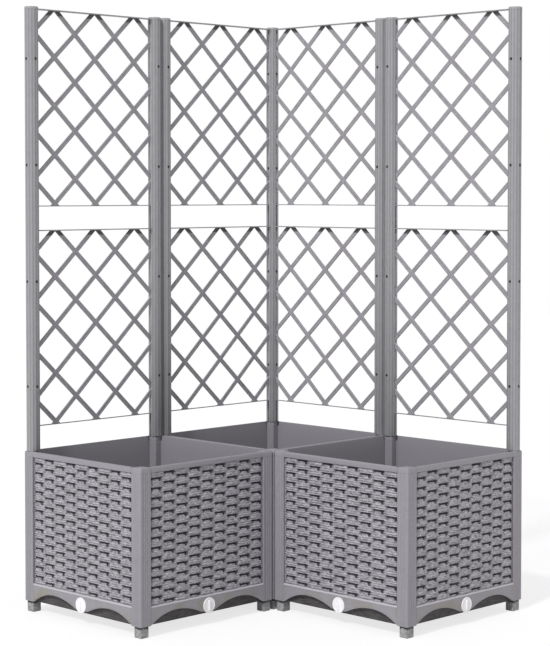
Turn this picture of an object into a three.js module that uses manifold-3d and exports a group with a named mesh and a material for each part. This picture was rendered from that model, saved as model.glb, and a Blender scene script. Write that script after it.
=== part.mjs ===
// Corner planter with trellis: three square wicker-look boxes set in an L, and a diamond
// trellis on the two outer walls. Millimetres, +Z up. The origin is on the floor in the middle
// of the square that the L fills. The walls run along X and Y, the closed back corner is at
// -X +Y, and the empty quarter of the square is at +X -Y.

import * as THREE from 'three';
import { mergeVertices } from 'three/addons/utils/BufferGeometryUtils.js';
import Module from 'manifold-3d';

const wasm = await Module();
wasm.setup();

// ---- driving dimensions -------------------------------------------------------------------

const FIT_GAP = 0.3;             // clearance between pieces that touch
const WELD = 0.5;                // how far two shapes of one moulding run into each other
const OVERCUT = 1;               // how far a cutting shape runs past the face that it cuts

const BOX_WIDTH = 414;           // outside of one box, leg face to leg face
const BOX_SPACING = 416;         // from the middle of one box to the middle of the next
const BOX_TOP = 380;
const BODY_BOTTOM = 26;          // underside of legs and side panels
const POST_TOP = 1420;

const LEG_WIDTH = 31;
const LEG_CORNER_RADIUS = 3.5;
const LEG_LIP = 4;               // front lip of the leg that hides the end of a side panel
const LEG_CAP_CHAMFER = 3;
const LEG_CAP_HEIGHT = 11;
const LEG_FLUTES = [10, 16, 22]; // distance of each flute from the outer corner
const FLUTE_WIDTH = 2.4;
const FLUTE_DEPTH = 0.8;

const SOCKET_SPARE = 1;          // room past the end of a spigot in its socket
const FOOT_WIDTH = 22;
const FOOT_CHAMFER = 1.5;
const FOOT_SPIGOT_WIDTH = 10;
const FOOT_SPIGOT_TOP = 42;

const PANEL_FACE_DEPTH = 0.3;    // depths are measured inwards from the outside of the box
const PANEL_TONGUE_DEPTH = 4.8;  // front of the tongues that reach behind the lips of the legs
const PANEL_BACK_DEPTH = 7.3;
const RIM_BOTTOM = 366;
const APRON_TOP = 68;
const STAKE_COUNT = 9;           // upright stakes that the strands weave over and under
const STAKE_PITCH = 39.3;
const STRAND_COUNT = 27;         // level strands, one above the other
const WEAVE_DEPTH = 3.1;         // middle of the woven surface
const WEAVE_SWELL = 1.5;         // how far a strand rises over a stake, or dips behind it

const ARCH_LEG_END = [31, 26];   // points of one apron arch: distance from the box corner, height
const ARCH_LEG_PULL = [72, 51];
const ARCH_CREST = [108, 51];
const ARCH_MIDDLE_PULL = [148, 51];
const ARCH_MIDDLE_END = [186, 32.5];
const APRON_MIDDLE_BOTTOM = 32.5;
const ARCH_STEPS = 3;

const DRAIN_HEIGHT = 45;
const DRAIN_HOLE_RADIUS = 8;
const PLUG_FLANGE_RADIUS = 18;
const PLUG_FLANGE_THICKNESS = 2.2;
const PLUG_SHANK_RADIUS = 7.4;
const PLUG_SHANK_LENGTH = 15;
const PLUG_GRIP = [24, 4, 2];    // length, width and height of the bar on the plug's face
const PLUG_SIDES = 12;

const TRAY_BOTTOM = 25.5;
const TRAY_TOP = 69;
const TRAY_WALL = 2.5;
const TRAY_FLOOR = 3;
const TRAY_FLANGE = 2.7;
const TRAY_CORNER_GAP = 0.5;
const TRAY_LEDGE = [3, 4];       // rib on the back of a side panel that carries the tray

const POST_RADIUS = 16;
const POST_FLUTE_DEPTH = 0.8;
const POST_FLUTE_STEP = 15;      // degrees from a ridge to the next hollow
const POST_CAP_RADIUS = 16.2;
const POST_CAP_HEIGHT = 8;
const POST_CAP_BEVEL = 2;
const POST_SPIGOT_RADIUS = 9.7;
const POST_SPIGOT_LENGTH = 55;
const POST_SPIGOT_SIDES = 8;
const POST_INSET = LEG_WIDTH / 2; // post axis, from both outer faces of its box
const SLOT_WIDTH = 4.6;          // slot in the post that holds the side bar of a lattice
const SLOT_DEPTH = 5.3;

const LATTICE_HALF_WIDTH = 62;   // half of one diamond, along the wall
const LATTICE_HALF_HEIGHT = 57.5;
const LATTICE_ROWS = 8;          // half diamonds from the bottom bar to the top bar
const LATTICE_STRIP = 11;
const LATTICE_BAR = 2.6;
const LATTICE_FLANGE_DEPTH = 16; // the top bar is a level flange, as deep as this
const LATTICE_THICKNESS = 4;
const LATTICE_SIDE_BAR = 3.7;
const CROSSING_ABOVE_BAR = 5.5;  // the crossings lie a little above the level bars
const LOWER_LATTICE_BOTTOM = BOX_TOP + LATTICE_HALF_HEIGHT;
const UPPER_LATTICE_BOTTOM = LOWER_LATTICE_BOTTOM + (LATTICE_ROWS + 1) * LATTICE_HALF_HEIGHT;

const QUARTER = Math.PI / 2;
const HALF_BOX = BOX_WIDTH / 2;

// ---- finishes -----------------------------------------------------------------------------

const greyPlastic = new THREE.MeshStandardMaterial({ color: 0x98979b, roughness: 0.5, metalness: 0 });
const trellisPlastic = new THREE.MeshStandardMaterial({ color: 0x8f8e93, roughness: 0.5, metalness: 0 });
const footPlastic = new THREE.MeshStandardMaterial({ color: 0x77777b, roughness: 0.7, metalness: 0 });
const trayPlastic = new THREE.MeshStandardMaterial({ color: 0x4b484c, roughness: 0.6, metalness: 0 });
const plugPlastic = new THREE.MeshStandardMaterial({ color: 0xf2f0f6, roughness: 0.4, metalness: 0 });

// ---- solids -------------------------------------------------------------------------------

function toSolid(geometry) {
  const bare = geometry.clone();
  bare.deleteAttribute('normal');
  bare.deleteAttribute('uv');
  const merged = mergeVertices(bare, 1e-4);
  return new wasm.Manifold(new wasm.Mesh({
    numProp: 3,
    vertProperties: new Float32Array(merged.attributes.position.array),
    triVerts: new Uint32Array(merged.index.array),
  }));
}

function toGeometry(solid) {
  const mesh = solid.getMesh();
  const geometry = new THREE.BufferGeometry();
  geometry.setAttribute('position', new THREE.BufferAttribute(new Float32Array(mesh.vertProperties), 3));
  geometry.setIndex(new THREE.BufferAttribute(new Uint32Array(mesh.triVerts), 1));
  geometry.computeVertexNormals();
  return geometry;
}

// A flat outline pushed straight up from one height to another.
function upright(shape, bottom, top, curveSegments = 2) {
  const geometry = new THREE.ExtrudeGeometry(shape, {
    depth: top - bottom,
    bevelEnabled: false,
    curveSegments,
  });
  return geometry.translate(0, 0, bottom);
}

// An outline drawn on the side of a box (x along the side, y up), given its thickness inwards.
// The outside of the box faces -Y, and depth grows towards +Y.
function onSide(shape, outerDepth, innerDepth, curveSegments = 3) {
  const geometry = new THREE.ExtrudeGeometry(shape, {
    depth: innerDepth - outerDepth,
    bevelEnabled: false,
    curveSegments,
  });
  return geometry.rotateX(QUARTER).translate(0, innerDepth - HALF_BOX, 0);
}

function polygon(points) {
  return new THREE.Shape(points.map(([x, y]) => new THREE.Vector2(x, y)));
}

function rectangle(left, bottom, right, top) {
  return polygon([[left, bottom], [right, bottom], [right, top], [left, top]]);
}

// ---- corner leg ---------------------------------------------------------------------------

// Plan of the leg with its outer corner at 0,0: two fluted outer faces, a front lip on each
// side that covers the end of a side panel, and a square core behind the lips.
function legPlan() {
  const core = LEG_WIDTH - LEG_LIP;
  const innerChamfer = LEG_LIP;
  const shape = new THREE.Shape();
  shape.moveTo(LEG_CORNER_RADIUS, 0);
  for (const middle of LEG_FLUTES) {
    shape.lineTo(middle - FLUTE_WIDTH / 2, 0);
    shape.lineTo(middle, FLUTE_DEPTH);
    shape.lineTo(middle + FLUTE_WIDTH / 2, 0);
  }
  shape.lineTo(LEG_WIDTH, 0);
  shape.lineTo(LEG_WIDTH, LEG_LIP);
  shape.lineTo(core, LEG_LIP);
  shape.lineTo(core, core - innerChamfer);
  shape.lineTo(core - innerChamfer, core);
  shape.lineTo(LEG_LIP, core);
  shape.lineTo(LEG_LIP, LEG_WIDTH);
  shape.lineTo(0, LEG_WIDTH);
  for (const middle of [...LEG_FLUTES].reverse()) {
    shape.lineTo(0, middle + FLUTE_WIDTH / 2);
    shape.lineTo(FLUTE_DEPTH, middle);
    shape.lineTo(0, middle - FLUTE_WIDTH / 2);
  }
  shape.lineTo(0, LEG_CORNER_RADIUS);
  shape.absarc(LEG_CORNER_RADIUS, LEG_CORNER_RADIUS, LEG_CORNER_RADIUS, Math.PI, 3 * QUARTER);
  return shape;
}

// The closed top of a leg: a square cap with a sloping shoulder all round.
function legCap() {
  const shape = new THREE.Shape();
  shape.moveTo(LEG_CORNER_RADIUS, 0);
  shape.lineTo(LEG_WIDTH, 0);
  shape.lineTo(LEG_WIDTH, LEG_WIDTH);
  shape.lineTo(0, LEG_WIDTH);
  shape.lineTo(0, LEG_CORNER_RADIUS);
  shape.absarc(LEG_CORNER_RADIUS, LEG_CORNER_RADIUS, LEG_CORNER_RADIUS, Math.PI, 3 * QUARTER);
  const geometry = new THREE.ExtrudeGeometry(shape, {
    depth: LEG_CAP_HEIGHT - 2 * LEG_CAP_CHAMFER,
    bevelEnabled: true,
    bevelThickness: LEG_CAP_CHAMFER,
    bevelSize: LEG_CAP_CHAMFER,
    bevelOffset: -LEG_CAP_CHAMFER,
    bevelSegments: 1,
    curveSegments: 2,
  });
  return geometry.translate(0, 0, BOX_TOP - LEG_CAP_HEIGHT + LEG_CAP_CHAMFER);
}

function legGeometry(carriesPost) {
  const bodyTop = BOX_TOP - LEG_CAP_CHAMFER - WELD;
  const socketWidth = FOOT_SPIGOT_WIDTH / 2 + FIT_GAP;
  const footSocket = upright(rectangle(
    POST_INSET - socketWidth,
    POST_INSET - socketWidth,
    POST_INSET + socketWidth,
    POST_INSET + socketWidth,
  ), BODY_BOTTOM - OVERCUT, FOOT_SPIGOT_TOP + SOCKET_SPARE);
  let solid = toSolid(upright(legPlan(), BODY_BOTTOM, bodyTop)).add(toSolid(legCap()));
  solid = solid.subtract(toSolid(footSocket));
  if (carriesPost) {
    const radius = POST_SPIGOT_RADIUS + FIT_GAP;
    const length = POST_SPIGOT_LENGTH + SOCKET_SPARE + OVERCUT;
    const socket = new THREE.CylinderGeometry(radius, radius, length, POST_SPIGOT_SIDES);
    socket.rotateX(QUARTER).translate(POST_INSET, POST_INSET, BOX_TOP + OVERCUT - length / 2);
    solid = solid.subtract(toSolid(socket));
  }
  return toGeometry(solid).translate(-HALF_BOX, -HALF_BOX, 0);
}

// ---- foot ---------------------------------------------------------------------------------

// Square stub under a leg, with a square spigot that plugs up into it: a revolved profile
// with four sides.
function footGeometry() {
  const halfDiagonal = FOOT_WIDTH / Math.SQRT2;
  const spigot = FOOT_SPIGOT_WIDTH / Math.SQRT2;
  const shoulder = BODY_BOTTOM - FIT_GAP;
  const profile = [
    [0, 0],
    [halfDiagonal - FOOT_CHAMFER, 0],
    [halfDiagonal, FOOT_CHAMFER],
    [halfDiagonal, shoulder],
    [spigot, shoulder],
    [spigot, FOOT_SPIGOT_TOP],
    [0, FOOT_SPIGOT_TOP],
  ];
  const stub = revolved(profile, 4).rotateZ(Math.PI / 4);
  const inset = POST_INSET - HALF_BOX;
  return toGeometry(toSolid(stub)).translate(inset, inset, 0);
}

// A profile of radius and height, turned about the upright axis.
function revolved(profile, sides) {
  const points = profile.map(([radius, height]) => new THREE.Vector2(radius, height));
  return new THREE.LatheGeometry(points, sides).rotateX(QUARTER);
}

// ---- woven side panel ---------------------------------------------------------------------

// Where along the side a profile of the panel is drawn: at both ends and at every stake.
function panelStations() {
  const halfWidth = HALF_BOX - LEG_WIDTH - FIT_GAP;
  const stations = [-halfWidth];
  for (let stake = 0; stake < STAKE_COUNT; stake += 1) {
    stations.push((stake - (STAKE_COUNT - 1) / 2) * STAKE_PITCH);
  }
  return [...stations, halfWidth];
}

// Depth and height round the panel at one station. Every strand swells over one stake and dips
// behind the next, and the strand above it does the opposite. The ends of the field are level.
function panelProfile(station, woven) {
  const panelTop = BOX_TOP - FIT_GAP;
  const strandPitch = (RIM_BOTTOM - APRON_TOP) / STRAND_COUNT;
  const onStake = station > 0 && station <= STAKE_COUNT;
  const weave = [];
  for (let strand = STRAND_COUNT - 1; woven && strand >= 0; strand -= 1) {
    const isInFront = (station + strand) % 2 === 1;
    const swell = isInFront ? -WEAVE_SWELL : WEAVE_SWELL;
    const depth = onStake ? WEAVE_DEPTH + swell : WEAVE_DEPTH;
    weave.push([depth, APRON_TOP + (strand + 0.5) * strandPitch]);
  }
  return [
    [PANEL_BACK_DEPTH, panelTop],
    [PANEL_FACE_DEPTH, panelTop],
    [PANEL_FACE_DEPTH, RIM_BOTTOM],
    [WEAVE_DEPTH, RIM_BOTTOM],
    ...weave,
    [WEAVE_DEPTH, APRON_TOP],
    [PANEL_FACE_DEPTH, APRON_TOP],
    [PANEL_FACE_DEPTH, BODY_BOTTOM],
    [PANEL_BACK_DEPTH, BODY_BOTTOM],
  ];
}

// Blank of a side panel: its profile carried along the side from station to station.
function panelBlank(woven) {
  const stations = panelStations();
  const profiles = stations.map((x, station) => panelProfile(station, woven));
  const positions = stations.flatMap((x, station) => (
    profiles[station].flatMap(([depth, height]) => [x, depth - HALF_BOX, height])
  ));
  const outline = profiles[0].map(([depth, height]) => new THREE.Vector2(depth, height));
  const geometry = new THREE.BufferGeometry();
  geometry.setAttribute('position', new THREE.Float32BufferAttribute(positions, 3));
  geometry.setIndex(loftFaces(outline, stations.length));
  return outwardSolid(geometry);
}

// Triangles of a closed loft, for rings that each have as many points as the outline, with a
// flat end on the first and the last ring.
function loftFaces(outline, ringCount) {
  const size = outline.length;
  const faces = [];
  for (let start = 0; start < (ringCount - 1) * size; start += size) {
    for (let point = 0; point < size; point += 1) {
      const a = start + point;
      const b = start + ((point + 1) % size);
      faces.push(a, b, a + size, b, b + size, a + size);
    }
  }
  const last = (ringCount - 1) * size;
  for (const [a, b, c] of THREE.ShapeUtils.triangulateShape(outline, [])) {
    faces.push(a, c, b, last + a, last + b, last + c);
  }
  return faces;
}

// A closed mesh as a solid, whichever way round its faces were listed.
function outwardSolid(geometry) {
  const first = new wasm.Manifold(new wasm.Mesh({
    numProp: 3,
    vertProperties: new Float32Array(geometry.attributes.position.array),
    triVerts: new Uint32Array(geometry.index.array),
  }));
  if (first.volume() > 0) {
    return first;
  }
  return new wasm.Manifold(new wasm.Mesh({
    numProp: 3,
    vertProperties: new Float32Array(geometry.attributes.position.array),
    triVerts: new Uint32Array(geometry.index.array).reverse(),
  }));
}

// Everything below the two arches of the apron, between the legs.
function belowApron() {
  const below = BODY_BOTTOM - OVERCUT;
  const shape = new THREE.Shape();
  const left = ([fromCorner, height]) => [fromCorner - HALF_BOX, height];
  const right = ([fromCorner, height]) => [HALF_BOX - fromCorner, height];
  shape.moveTo(ARCH_LEG_END[0] - HALF_BOX, below);
  shape.lineTo(...left(ARCH_LEG_END));
  shape.quadraticCurveTo(...left(ARCH_LEG_PULL), ...left(ARCH_CREST));
  shape.quadraticCurveTo(...left(ARCH_MIDDLE_PULL), ...left(ARCH_MIDDLE_END));
  shape.lineTo(HALF_BOX - ARCH_MIDDLE_END[0], APRON_MIDDLE_BOTTOM);
  shape.quadraticCurveTo(...right(ARCH_MIDDLE_PULL), ...right(ARCH_CREST));
  shape.quadraticCurveTo(...right(ARCH_LEG_PULL), ...right(ARCH_LEG_END));
  shape.lineTo(HALF_BOX - ARCH_LEG_END[0], below);
  return shape;
}

function panelGeometry(woven, drained) {
  const tongueHalf = HALF_BOX - LEG_WIDTH + LEG_LIP - FIT_GAP;
  const tongue = onSide(
    rectangle(-tongueHalf, BODY_BOTTOM, tongueHalf, BOX_TOP - LEG_CAP_HEIGHT - FIT_GAP),
    PANEL_TONGUE_DEPTH,
    PANEL_BACK_DEPTH,
  );
  const [ledgeDepth, ledgeHeight] = TRAY_LEDGE;
  const ledgeTop = TRAY_TOP - TRAY_FLANGE - FIT_GAP;
  const ledgeHalf = tongueHalf - LEG_LIP - ledgeDepth;
  const ledge = onSide(
    rectangle(-ledgeHalf, ledgeTop - ledgeHeight, ledgeHalf, ledgeTop),
    PANEL_BACK_DEPTH - WELD,
    PANEL_BACK_DEPTH + ledgeDepth,
  );
  let solid = panelBlank(woven).add(toSolid(tongue)).add(toSolid(ledge));
  const drillEnd = PANEL_BACK_DEPTH + OVERCUT;
  solid = solid.subtract(toSolid(onSide(belowApron(), -OVERCUT, drillEnd, ARCH_STEPS)));
  if (drained) {
    solid = solid.subtract(toSolid(drainDrill(-OVERCUT, drillEnd)));
  }
  return toGeometry(solid);
}

// A round drill along the outward normal of a side, at the drain's height.
function drainDrill(outerDepth, innerDepth) {
  const length = innerDepth - outerDepth;
  const drill = new THREE.CylinderGeometry(DRAIN_HOLE_RADIUS, DRAIN_HOLE_RADIUS, length, PLUG_SIDES);
  return drill.translate(0, outerDepth + length / 2 - HALF_BOX, DRAIN_HEIGHT);
}

// ---- tray ---------------------------------------------------------------------------------

// A square with its four corners cut back round the legs.
function notchedSquare(half, notch) {
  const quarter = [[notch, -half], [notch, -notch]];
  const points = [];
  for (let turn = 0; turn < 4; turn += 1) {
    for (const [x, y] of [[-notch, -half], ...quarter]) {
      points.push(turned(x, y, turn));
    }
  }
  return polygon(points);
}

function turned(x, y, quarterTurns) {
  const cycle = [[x, y], [-y, x], [-x, -y], [y, -x]];
  return cycle[quarterTurns % 4];
}

function trayGeometry(drainSides) {
  const ledgeDepth = PANEL_BACK_DEPTH + TRAY_LEDGE[0];
  const outer = HALF_BOX - ledgeDepth - FIT_GAP;
  const flange = HALF_BOX - PANEL_BACK_DEPTH - FIT_GAP;
  const notch = HALF_BOX - (LEG_WIDTH - LEG_LIP) - TRAY_CORNER_GAP;
  const body = upright(notchedSquare(outer, notch), TRAY_BOTTOM, TRAY_TOP);
  const rim = upright(notchedSquare(flange, notch), TRAY_TOP - TRAY_FLANGE, TRAY_TOP);
  const pocket = upright(
    notchedSquare(outer - TRAY_WALL, notch - TRAY_WALL),
    TRAY_BOTTOM + TRAY_FLOOR,
    TRAY_TOP + OVERCUT,
  );
  let solid = toSolid(body).add(toSolid(rim)).subtract(toSolid(pocket));
  for (const side of drainSides) {
    const drillEnd = ledgeDepth + FIT_GAP + TRAY_WALL + OVERCUT;
    const drill = drainDrill(ledgeDepth - OVERCUT, drillEnd).rotateZ(side * QUARTER);
    solid = solid.subtract(toSolid(drill));
  }
  return toGeometry(solid);
}

// ---- drain plug ---------------------------------------------------------------------------

// A round flange with a rounded edge, a shank that fills the drain hole, and a bar to grip.
function plugGeometry() {
  const back = 0;
  const front = PLUG_FLANGE_THICKNESS;
  const profile = [
    [0, -PLUG_SHANK_LENGTH],
    [PLUG_SHANK_RADIUS, -PLUG_SHANK_LENGTH],
    [PLUG_SHANK_RADIUS, back],
    [PLUG_FLANGE_RADIUS, back],
    [PLUG_FLANGE_RADIUS, front / 2],
    [PLUG_FLANGE_RADIUS - front / 2, front],
    [0, front],
  ];
  const [length, width, height] = PLUG_GRIP;
  const grip = new THREE.BoxGeometry(width, length, height + WELD);
  grip.translate(0, 0, front + (height - WELD) / 2);
  const solid = toSolid(revolved(profile, PLUG_SIDES)).add(toSolid(grip));
  const flangeBack = PANEL_FACE_DEPTH - FIT_GAP - HALF_BOX;
  return toGeometry(solid).rotateX(QUARTER).translate(0, flangeBack, DRAIN_HEIGHT);
}

// ---- trellis post -------------------------------------------------------------------------

// Round outline with shallow flutes all round.
function postPlan() {
  const points = [];
  for (let angle = 0; angle < 360; angle += POST_FLUTE_STEP) {
    const isHollow = (angle / POST_FLUTE_STEP) % 2 === 0;
    const radius = isHollow ? POST_RADIUS - POST_FLUTE_DEPTH : POST_RADIUS;
    const radians = THREE.MathUtils.degToRad(angle);
    points.push([radius * Math.cos(radians), radius * Math.sin(radians)]);
  }
  return polygon(points);
}

// A post with a bevelled cap, a spigot for the leg below and one long slot for each bay of
// lattice that it holds. The cap has one corner over each ridge of the shaft. The slots point
// +X, +Y, -X or -Y by their number of quarter turns.
function postGeometry(slotTurns) {
  const foot = BOX_TOP + FIT_GAP;
  const capBottom = POST_TOP - POST_CAP_HEIGHT;
  const capSides = 180 / POST_FLUTE_STEP;
  const shaft = upright(postPlan(), foot, capBottom + WELD);
  const cap = revolved([
    [0, capBottom],
    [POST_CAP_RADIUS, capBottom],
    [POST_CAP_RADIUS, POST_TOP - POST_CAP_BEVEL],
    [POST_CAP_RADIUS - POST_CAP_BEVEL, POST_TOP],
    [0, POST_TOP],
  ], capSides).rotateZ(THREE.MathUtils.degToRad(POST_FLUTE_STEP));
  const spigot = revolved([
    [0, BOX_TOP - POST_SPIGOT_LENGTH],
    [POST_SPIGOT_RADIUS, BOX_TOP - POST_SPIGOT_LENGTH],
    [POST_SPIGOT_RADIUS, foot + WELD],
    [0, foot + WELD],
  ], POST_SPIGOT_SIDES);
  let solid = toSolid(shaft).add(toSolid(cap)).add(toSolid(spigot));
  const slotTop = UPPER_LATTICE_BOTTOM + LATTICE_ROWS * LATTICE_HALF_HEIGHT + LATTICE_BAR / 2 + FIT_GAP;
  for (const turn of slotTurns) {
    const slot = new THREE.BoxGeometry(2 * SLOT_DEPTH, SLOT_WIDTH, slotTop - BOX_TOP);
    slot.translate(POST_RADIUS, 0, (slotTop + BOX_TOP) / 2).rotateZ(turn * QUARTER);
    solid = solid.subtract(toSolid(slot));
  }
  return toGeometry(solid);
}

// ---- lattice panel ------------------------------------------------------------------------

// The part of a polygon on one side of a line: axis 0 keeps or cuts along x, axis 1 along y.
function clipped(points, axis, limit, keepBelow) {
  const inside = (point) => (keepBelow ? point[axis] < limit : point[axis] > limit);
  const kept = [];
  points.forEach((point, index) => {
    const next = points[(index + 1) % points.length];
    if (inside(point)) {
      kept.push(point);
    }
    if (inside(point) !== inside(next)) {
      const share = (limit - point[axis]) / (next[axis] - point[axis]);
      kept.push([0, 1].map((side) => point[side] + share * (next[side] - point[side])));
    }
  });
  return kept;
}

// Outline of one open diamond, cut off where it meets a bar of the lattice.
function latticeGap(x, middle, clearHalf, bottom, top) {
  const across = Math.hypot(LATTICE_HALF_WIDTH, LATTICE_HALF_HEIGHT);
  const stripPitch = (LATTICE_HALF_WIDTH * LATTICE_HALF_HEIGHT) / across;
  const open = 1 - LATTICE_STRIP / 2 / stripPitch;
  let gap = [
    [x - LATTICE_HALF_WIDTH * open, middle],
    [x, middle - LATTICE_HALF_HEIGHT * open],
    [x + LATTICE_HALF_WIDTH * open, middle],
    [x, middle + LATTICE_HALF_HEIGHT * open],
  ];
  gap = clipped(gap, 0, clearHalf, true);
  gap = clipped(gap, 0, -clearHalf, false);
  gap = clipped(gap, 1, top, true);
  return clipped(gap, 1, bottom, false);
}

// One moulding: two sets of slanting strips between a level top flange and a thin bottom bar,
// with a side bar at each end that slides into the slots of the posts.
function latticeGeometry(bottomBar) {
  const postPitch = BOX_WIDTH - 2 * POST_INSET;
  const halfLength = postPitch / 2 - POST_RADIUS + SLOT_DEPTH - FIT_GAP;
  const clearHalf = halfLength - LATTICE_SIDE_BAR;
  const topBar = bottomBar + LATTICE_ROWS * LATTICE_HALF_HEIGHT;
  const halfBar = LATTICE_BAR / 2;
  const outline = rectangle(-halfLength, bottomBar - halfBar, halfLength, topBar + halfBar);
  let solid = toSolid(upright(outline, -LATTICE_THICKNESS / 2, LATTICE_THICKNESS / 2));
  const columns = Math.floor(halfLength / LATTICE_HALF_WIDTH) + 1;
  for (let row = 0; row <= LATTICE_ROWS; row += 1) {
    const middle = bottomBar + CROSSING_ABOVE_BAR + row * LATTICE_HALF_HEIGHT;
    for (let column = -columns; column <= columns; column += 1) {
      const isGap = Math.abs(row + column) % 2 === 1;
      if (isGap) {
        const x = column * LATTICE_HALF_WIDTH;
        const gap = latticeGap(x, middle, clearHalf, bottomBar + halfBar, topBar - halfBar);
        solid = solid.subtract(toSolid(upright(polygon(gap), -LATTICE_THICKNESS, LATTICE_THICKNESS)));
      }
    }
  }
  const flangeLength = postPitch - 2 * (POST_CAP_RADIUS + FIT_GAP);
  const flange = new THREE.BoxGeometry(flangeLength, LATTICE_BAR, LATTICE_FLANGE_DEPTH);
  solid = solid.add(toSolid(flange.translate(0, topBar, 0)));
  return toGeometry(solid).rotateX(QUARTER);
}

// ---- assembly -----------------------------------------------------------------------------

// Sides and corners of a box are counted anticlockwise seen from above, from the side that
// faces -Y and the corner at -X -Y.
const SIDES = ['front', 'right', 'back', 'left'];
const CORNERS = ['front_left', 'front_right', 'back_right', 'back_left'];

const BOXES = [
  { name: 'left_box', x: -1, y: -1, postCorners: [0, 3], drainSides: [0, 1], plainSides: [2] },
  { name: 'corner_box', x: -1, y: 1, postCorners: [0, 3, 2], drainSides: [3, 2], plainSides: [0, 1] },
  { name: 'right_box', x: 1, y: 1, postCorners: [3, 2], drainSides: [0, 1], plainSides: [3] },
];

const planter = new THREE.Group();
planter.name = 'corner_planter_with_trellis';

function addMesh(parent, name, geometry, material) {
  const mesh = new THREE.Mesh(geometry, material);
  mesh.name = name;
  parent.add(mesh);
  return mesh;
}

const legWithPost = legGeometry(true);
const legWithoutPost = legGeometry(false);
const foot = footGeometry();
const wovenPanel = panelGeometry(true, false);
const wovenDrainedPanel = panelGeometry(true, true);
const plainPanel = panelGeometry(false, false);
const plug = plugGeometry();

for (const box of BOXES) {
  const group = new THREE.Group();
  group.position.set(box.x * BOX_SPACING / 2, box.y * BOX_SPACING / 2, 0);
  planter.add(group);
  for (let turn = 0; turn < 4; turn += 1) {
    const quarter = new THREE.Group();
    quarter.rotation.z = turn * QUARTER;
    group.add(quarter);
    const carriesPost = box.postCorners.includes(turn);
    const legShape = carriesPost ? legWithPost : legWithoutPost;
    addMesh(quarter, `${box.name}_leg_${CORNERS[turn]}`, legShape, greyPlastic);
    addMesh(quarter, `${box.name}_foot_${CORNERS[turn]}`, foot, footPlastic);
    const drained = box.drainSides.includes(turn);
    const plain = box.plainSides.includes(turn);
    const wovenShape = drained ? wovenDrainedPanel : wovenPanel;
    const panelShape = plain ? plainPanel : wovenShape;
    addMesh(quarter, `${box.name}_panel_${SIDES[turn]}`, panelShape, greyPlastic);
    if (drained) {
      addMesh(quarter, `${box.name}_drain_plug_${SIDES[turn]}`, plug, plugPlastic);
    }
  }
  addMesh(group, `${box.name}_tray`, trayGeometry(box.drainSides), trayPlastic);
}

// Posts stand on the corners along the two outer walls. A slot faces each lattice: quarter
// turns from +X give its side.
const wallLine = (BOX_SPACING + BOX_WIDTH) / 2 - POST_INSET;
const insideLine = POST_INSET + (BOX_SPACING - BOX_WIDTH) / 2;
const POSTS = [
  { name: 'post_left_end', x: -wallLine, y: -wallLine, slots: [1] },
  { name: 'post_left_middle', x: -wallLine, y: -insideLine, slots: [3] },
  { name: 'post_corner_left', x: -wallLine, y: insideLine, slots: [1] },
  { name: 'post_corner_back', x: -wallLine, y: wallLine, slots: [0, 3] },
  { name: 'post_corner_right', x: -insideLine, y: wallLine, slots: [2] },
  { name: 'post_right_middle', x: insideLine, y: wallLine, slots: [0] },
  { name: 'post_right_end', x: wallLine, y: wallLine, slots: [2] },
];
for (const post of POSTS) {
  const mesh = addMesh(planter, post.name, postGeometry(post.slots), trellisPlastic);
  mesh.position.set(post.x, post.y, 0);
}

const BAYS = [
  { name: 'left_outer', x: -wallLine, y: -BOX_SPACING / 2, turn: 1 },
  { name: 'left_inner', x: -wallLine, y: BOX_SPACING / 2, turn: 1 },
  { name: 'right_inner', x: -BOX_SPACING / 2, y: wallLine, turn: 0 },
  { name: 'right_outer', x: BOX_SPACING / 2, y: wallLine, turn: 0 },
];
const lowerLattice = latticeGeometry(LOWER_LATTICE_BOTTOM);
const upperLattice = latticeGeometry(UPPER_LATTICE_BOTTOM);
for (const bay of BAYS) {
  const group = new THREE.Group();
  group.position.set(bay.x, bay.y, 0);
  group.rotation.z = bay.turn * QUARTER;
  planter.add(group);
  addMesh(group, `lattice_lower_${bay.name}`, lowerLattice, trellisPlastic);
  addMesh(group, `lattice_upper_${bay.name}`, upperLattice, trellisPlastic);
}

export default planter;
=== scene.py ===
"""Looks of a corner planter: three woven-look boxes in an L, a lattice trellis on two walls."""

import math

import bpy
import numpy as np
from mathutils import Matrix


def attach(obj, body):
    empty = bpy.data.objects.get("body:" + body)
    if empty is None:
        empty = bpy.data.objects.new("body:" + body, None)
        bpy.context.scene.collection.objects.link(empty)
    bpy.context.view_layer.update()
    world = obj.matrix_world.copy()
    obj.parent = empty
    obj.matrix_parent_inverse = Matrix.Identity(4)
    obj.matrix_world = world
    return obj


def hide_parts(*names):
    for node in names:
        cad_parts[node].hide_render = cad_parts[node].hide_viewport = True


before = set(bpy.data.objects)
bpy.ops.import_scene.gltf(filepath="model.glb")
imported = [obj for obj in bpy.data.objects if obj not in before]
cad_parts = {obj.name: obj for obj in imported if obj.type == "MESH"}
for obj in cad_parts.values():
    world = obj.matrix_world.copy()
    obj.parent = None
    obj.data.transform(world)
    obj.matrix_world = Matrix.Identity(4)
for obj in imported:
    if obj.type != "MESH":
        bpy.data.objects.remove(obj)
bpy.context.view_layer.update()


# ---------------------------------------------------------------------------------------------
# Feet. Twelve square stubs of a rougher, darker plastic, plugged up into the corner legs from
# below. Each is a plain moulding with small chamfers, and its solid already has that shape. The
# makers of plastics that all pieces share come first.
# ---------------------------------------------------------------------------------------------

def computed(tree, operation, *values):
    """Output of a math node. Each value is a number or the output of another node."""
    node = tree.nodes.new("ShaderNodeMath")
    node.operation = operation
    for socket, value in zip(node.inputs, values):
        if isinstance(value, bpy.types.NodeSocket):
            tree.links.new(value, socket)
        else:
            socket.default_value = value
    return node.outputs[0]


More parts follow.
